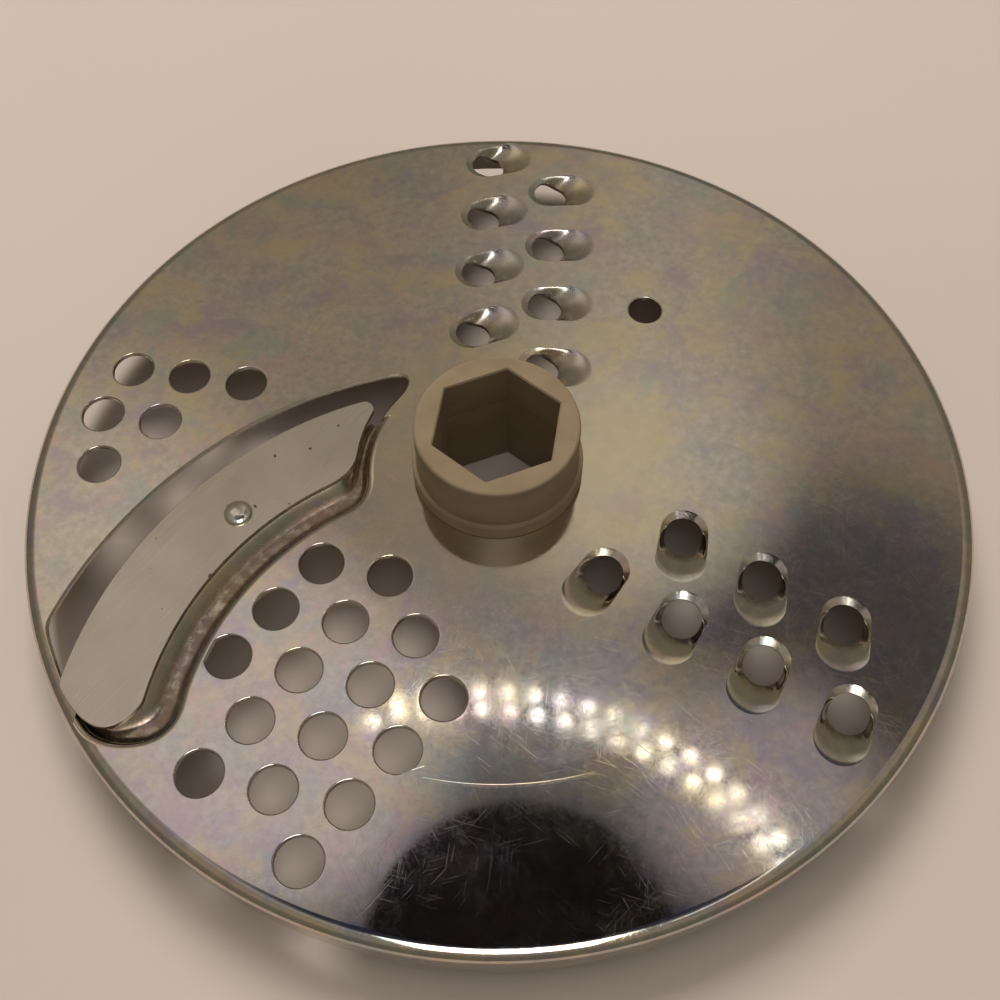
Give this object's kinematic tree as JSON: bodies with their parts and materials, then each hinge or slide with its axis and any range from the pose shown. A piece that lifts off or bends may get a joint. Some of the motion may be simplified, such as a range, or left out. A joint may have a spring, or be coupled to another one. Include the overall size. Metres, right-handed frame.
{
  "type": "food processor slicing and shredding disc",
  "caption": "Reversible food-processor disc: a perforated steel plate with shredding teeth, a riveted curved slicing blade and a plastic hub with a hexagonal drive socket.",
  "frame": {"origin": "centre of the lower hub's end face, on the disc's axis, where the part stands", "axes": "+Z along the disc's axis towards the slicing side; +X and +Y in the plane of the disc, with the blade on the -X side"},
  "size_m": [0.178, 0.178, 0.0285],
  "materials": {
    "plate_steel": "polished stainless sheet with tarnish colours and fine scratches",
    "blade_steel": "satin ground stainless",
    "rivet_steel": "bright stainless",
    "hub_plastic": "matte olive-beige moulded plastic"
  },
  "bodies": {
    "root": {"disc_plate": "plate_steel", "slicing_blade": "blade_steel", "blade_rivet": "rivet_steel", "hub_upper": "hub_plastic", "hub_lower": "hub_plastic"}
  },
  "joints": []
}
